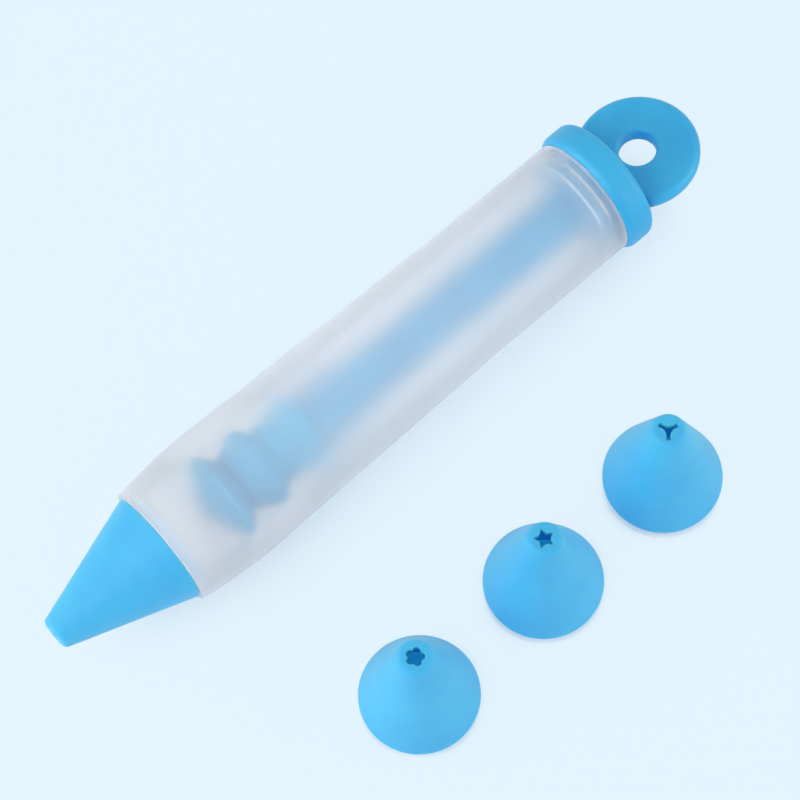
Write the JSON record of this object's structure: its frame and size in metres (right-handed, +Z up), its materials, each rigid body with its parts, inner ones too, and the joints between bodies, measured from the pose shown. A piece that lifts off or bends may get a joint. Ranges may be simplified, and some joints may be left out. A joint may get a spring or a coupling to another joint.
{
  "type": "icing pen",
  "caption": "Icing pen with a translucent squeeze barrel, a plunger with a hanging ring, a fitted cone nozzle and spare cone nozzles standing beside it.",
  "frame": {"origin": "on the table, under the middle of the whole set", "axes": "+X along the pen from the fitted nozzle's tip to the ring, +Y from the spare nozzles to the pen, +Z up"},
  "size_m": [0.1748, 0.0838, 0.0306],
  "materials": {
    "clear_silicone": "frosted translucent moulded silicone",
    "blue_silicone": "matte moulded silicone",
    "handle_silicone": "matte moulded silicone",
    "rod_plastic": "smooth moulded plastic"
  },
  "bodies": {
    "barrel": {"barrel": "clear_silicone"},
    "plunger": {"ring_handle": "handle_silicone", "plunger_rod": "rod_plastic", "piston": "blue_silicone"},
    "fitted_nozzle": {"round_nozzle": "blue_silicone"},
    "flower_nozzle": {"flower_nozzle": "blue_silicone"},
    "star_nozzle": {"star_nozzle": "blue_silicone"},
    "three_arm_nozzle": {"three_arm_nozzle": "blue_silicone"}
  },
  "joints": [
    {"name": "plunger_slide", "type": "slide", "parent": "barrel", "child": "plunger", "axis": [1, 0, 0], "range_m": [0, 0.092]},
    {"name": "nozzle_pull", "type": "slide", "parent": "barrel", "child": "fitted_nozzle", "axis": [-1, 0, 0], "range_m": [0, 0.035]},
    {"name": "flower_nozzle_lift", "type": "slide", "parent": "barrel", "child": "flower_nozzle", "axis": [0, 0, 1], "range_m": [0, 0.05]},
    {"name": "star_nozzle_lift", "type": "slide", "parent": "barrel", "child": "star_nozzle", "axis": [0, 0, 1], "range_m": [0, 0.05]},
    {"name": "three_arm_nozzle_lift", "type": "slide", "parent": "barrel", "child": "three_arm_nozzle", "axis": [0, 0, 1], "range_m": [0, 0.05]}
  ]
}
